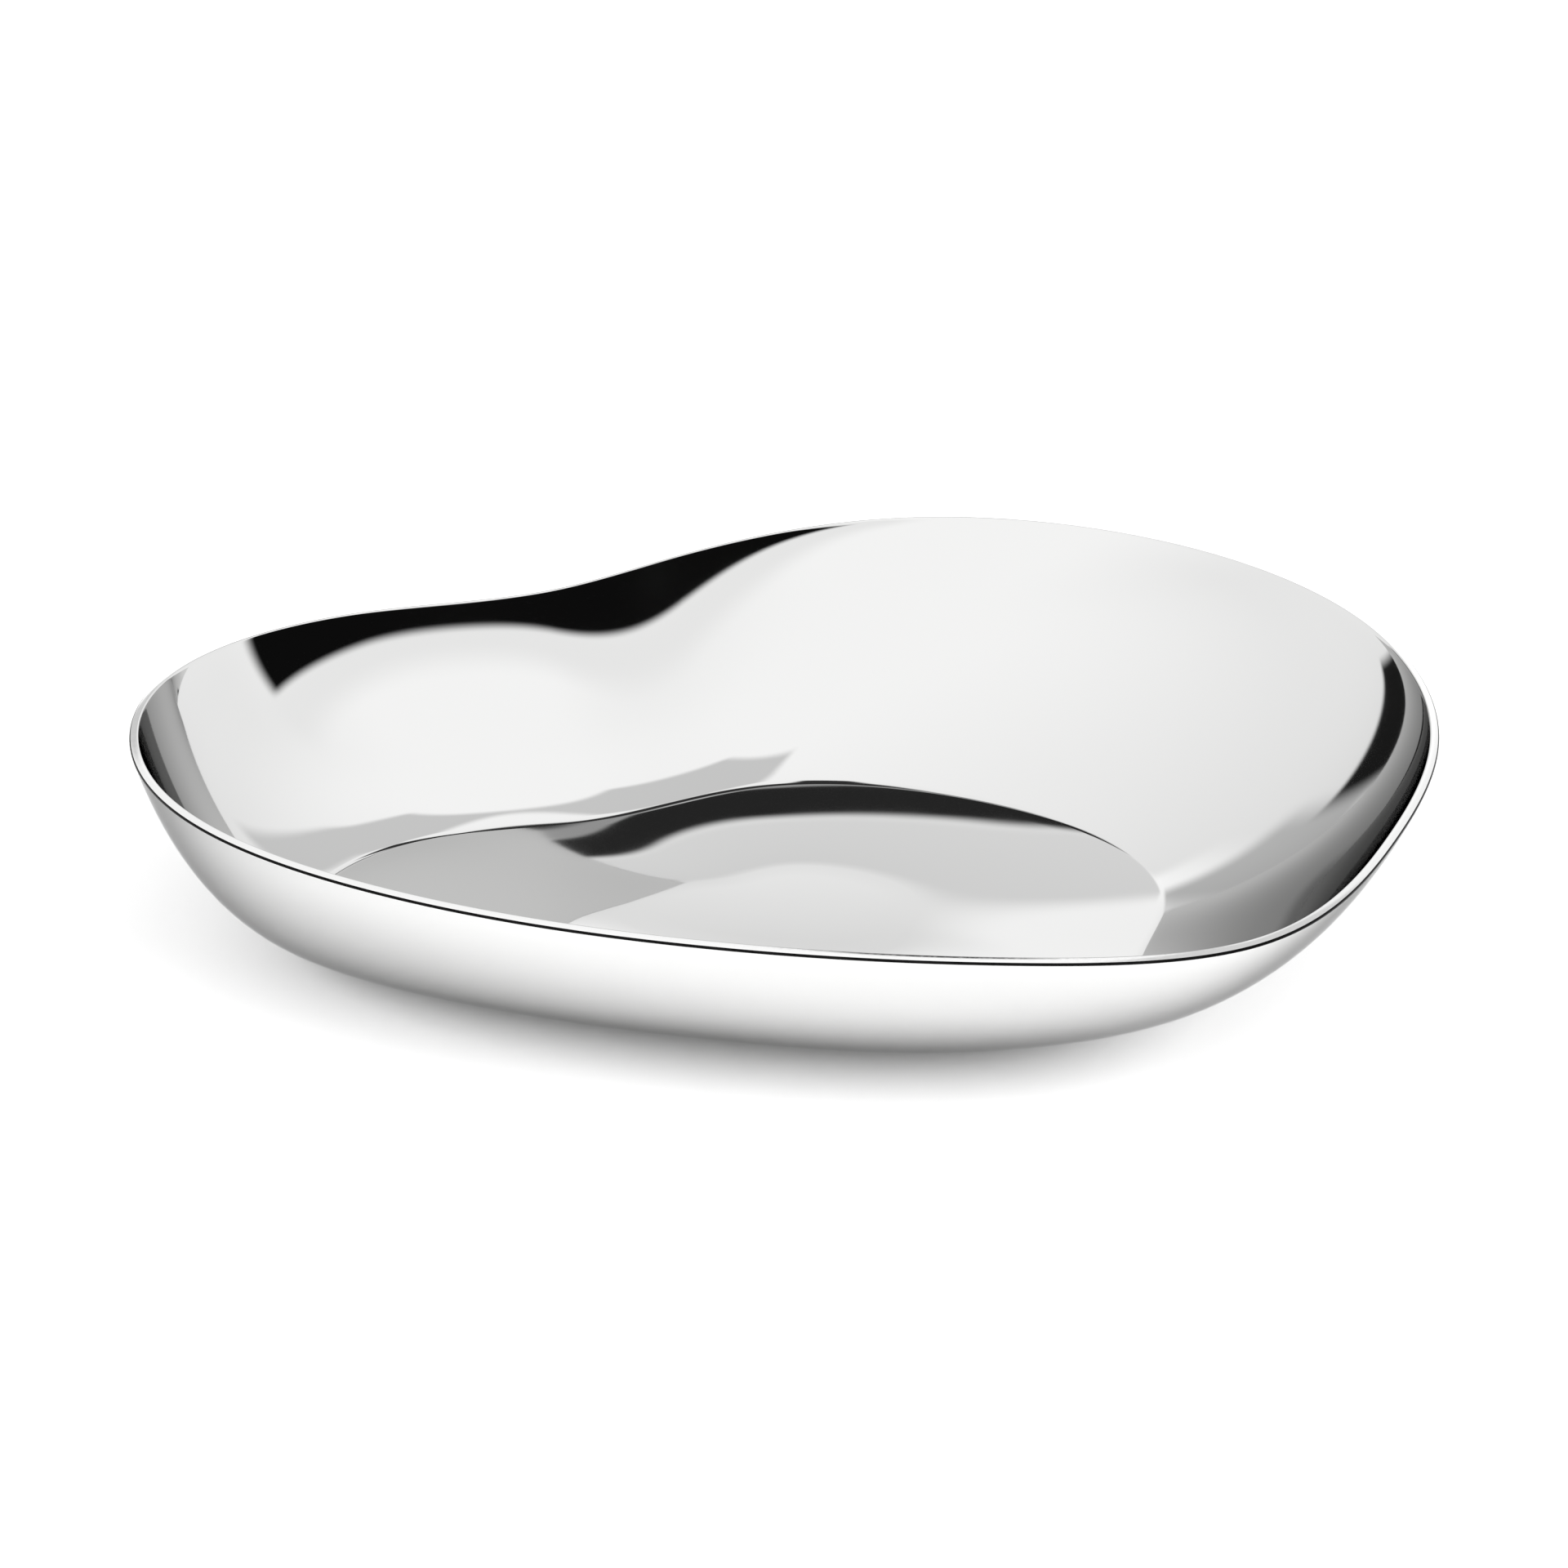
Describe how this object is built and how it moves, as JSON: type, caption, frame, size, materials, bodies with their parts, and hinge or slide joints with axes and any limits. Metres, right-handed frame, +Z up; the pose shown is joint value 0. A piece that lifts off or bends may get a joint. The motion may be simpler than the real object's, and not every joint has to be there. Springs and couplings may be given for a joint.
{
  "type": "kidney dish",
  "caption": "Kidney-shaped open bowl of thick mirror-polished sheet with a flat ground rim and a dished floor, on clear foot pads.",
  "frame": {"origin": "on the resting face of the foot pads, under the middle of the bowl's outline", "axes": "+Z up, out of the open mouth; +X along the length to the larger lobe; -Y to the long front side, +Y to the hollow"},
  "size_m": [0.3266, 0.2588, 0.0529],
  "materials": {
    "polished_steel": "mirror-polished stainless steel, ground rim",
    "clear_pad": "clear soft self-adhesive pad, slightly hazy"
  },
  "bodies": {
    "root": {"bowl_shell": "polished_steel", "foot_pad_front_left": "clear_pad", "foot_pad_front_right": "clear_pad", "foot_pad_back_right": "clear_pad", "foot_pad_back_left": "clear_pad"}
  },
  "joints": []
}
